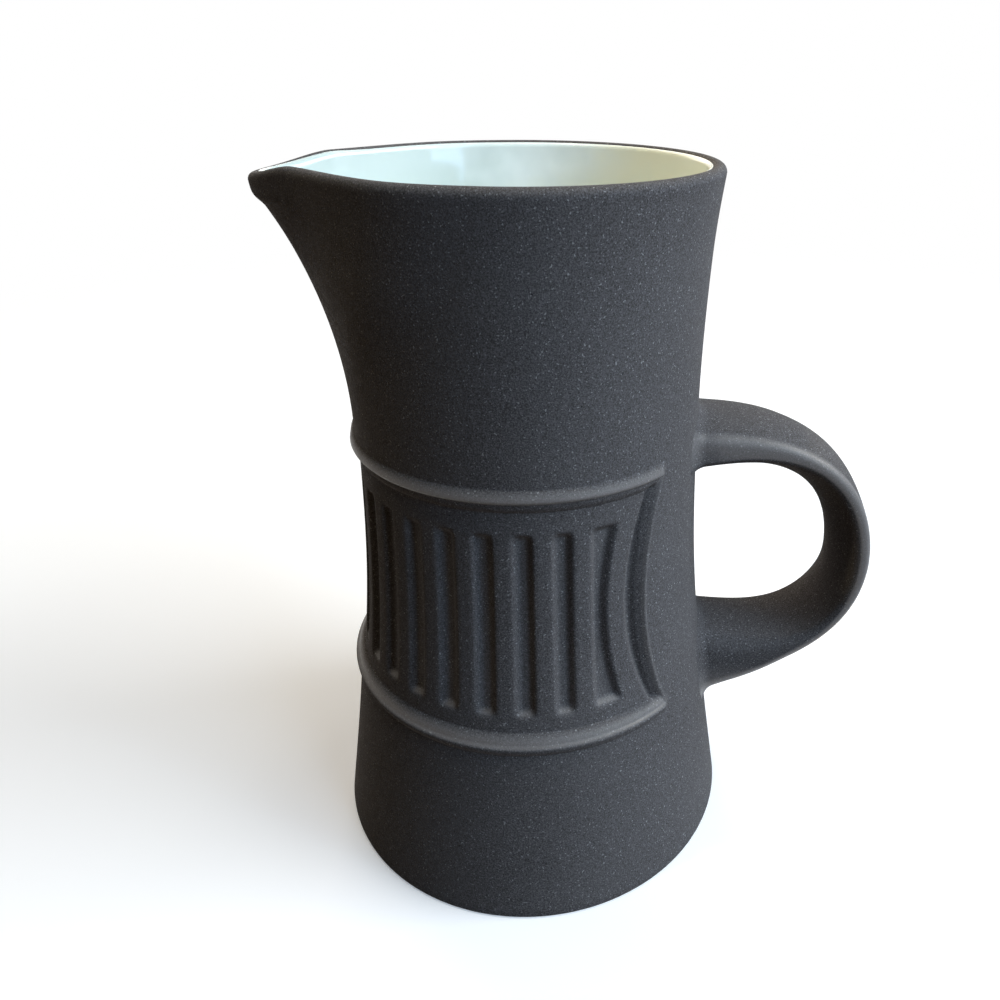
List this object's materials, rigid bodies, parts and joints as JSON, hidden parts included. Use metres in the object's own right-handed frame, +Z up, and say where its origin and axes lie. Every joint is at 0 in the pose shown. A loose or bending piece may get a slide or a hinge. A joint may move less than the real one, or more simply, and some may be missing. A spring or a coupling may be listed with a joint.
{
  "type": "cream jug",
  "caption": "Tall waisted stoneware cream jug with a pinched spout, a strap handle, a fluted band between two raised rings, and a glazed inside.",
  "frame": {"origin": "on the table plane under the foot, at the middle of the jug's whole length from the spout's tip to the outside of the handle", "axes": "+Z up, +X from the spout towards the handle, +Y across the jug"},
  "size_m": [0.12, 0.0852, 0.14],
  "materials": {
    "stoneware": "matt, fine-grained, unglazed dark stoneware",
    "glaze": "glossy off-white glaze"
  },
  "bodies": {
    "root": {"body": "stoneware", "handle": "stoneware", "glaze_lining": "glaze"}
  },
  "joints": []
}
